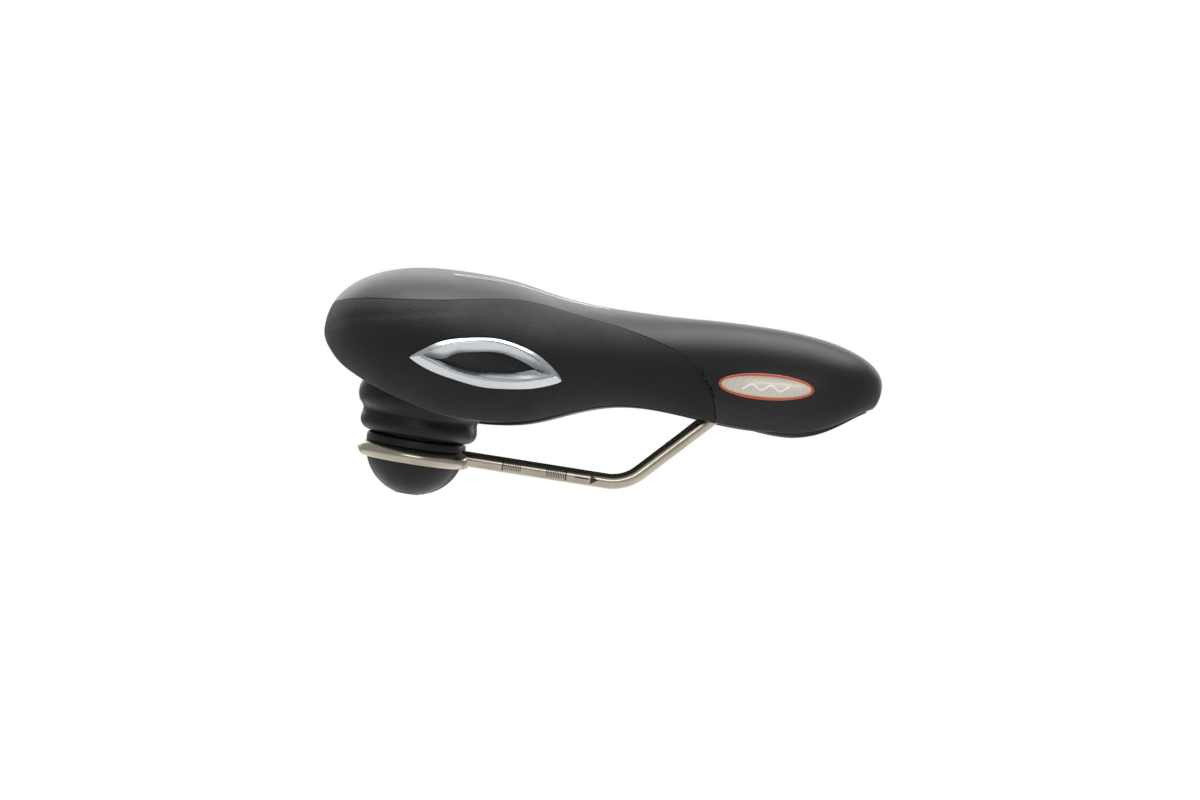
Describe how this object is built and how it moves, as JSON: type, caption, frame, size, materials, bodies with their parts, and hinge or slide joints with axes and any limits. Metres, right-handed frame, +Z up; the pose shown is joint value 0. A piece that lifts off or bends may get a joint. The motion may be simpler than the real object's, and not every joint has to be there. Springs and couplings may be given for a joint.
{
  "type": "suspension bicycle saddle",
  "caption": "Wide padded comfort bicycle saddle on bent steel rails, hinged at the nose and sprung at the rear on rubber elastomers.",
  "frame": {"origin": "middle of the straight clamp length of the two rails, halfway between the rails and at the height of their axes", "axes": "+X towards the saddle's nose, +Y to the rider's left, +Z up, with the rails level as on a bicycle"},
  "size_m": [0.257, 0.231, 0.1046],
  "materials": {
    "base_plastic": "satin",
    "foam": "matte",
    "smooth_vinyl": "satin",
    "grained_vinyl": "matte",
    "gel": "satin",
    "satin_silver": "satin",
    "window_black": "satin",
    "badge_orange": "gloss",
    "badge_cream": "satin",
    "steel": "satin",
    "zinc_steel": "satin",
    "rubber": "satin"
  },
  "bodies": {
    "rails": {"rail_frame": "steel", "elastomer_ball_left": "rubber", "elastomer_spring_left": "rubber", "seat_washer_left": "zinc_steel", "elastomer_ball_right": "rubber", "elastomer_spring_right": "rubber", "seat_washer_right": "zinc_steel"},
    "saddle": {"base_shell": "base_plastic", "nose_clip": "base_plastic", "foam_core": "foam", "top_cover": "smooth_vinyl", "side_cover_left": "grained_vinyl", "side_cover_right": "grained_vinyl", "gel_pad_left": "gel", "gel_pad_right": "gel", "eye_bezel_left": "satin_silver", "eye_bezel_right": "satin_silver", "eye_window_left": "window_black", "eye_window_right": "window_black", "badge_ring_left": "badge_orange", "badge_ring_right": "badge_orange", "badge_plate_left": "badge_cream", "badge_plate_right": "badge_cream", "bolt_washer_left": "zinc_steel", "elastomer_bolt_left": "zinc_steel", "elastomer_nut_left": "zinc_steel", "bolt_washer_right": "zinc_steel", "elastomer_bolt_right": "zinc_steel", "elastomer_nut_right": "zinc_steel", "nose_clip_screw_rear": "zinc_steel", "nose_clip_screw_front": "zinc_steel"}
  },
  "joints": [
    {"name": "suspension_pivot", "type": "hinge", "parent": "rails", "child": "saddle", "pos_m": [0.102, 0, 0.043], "axis": [0, -1, 0], "range_deg": [0, 2.6], "stiffness_Nm_per_rad": 1800, "deforming": ["elastomer_spring_left", "elastomer_spring_right"]}
  ]
}
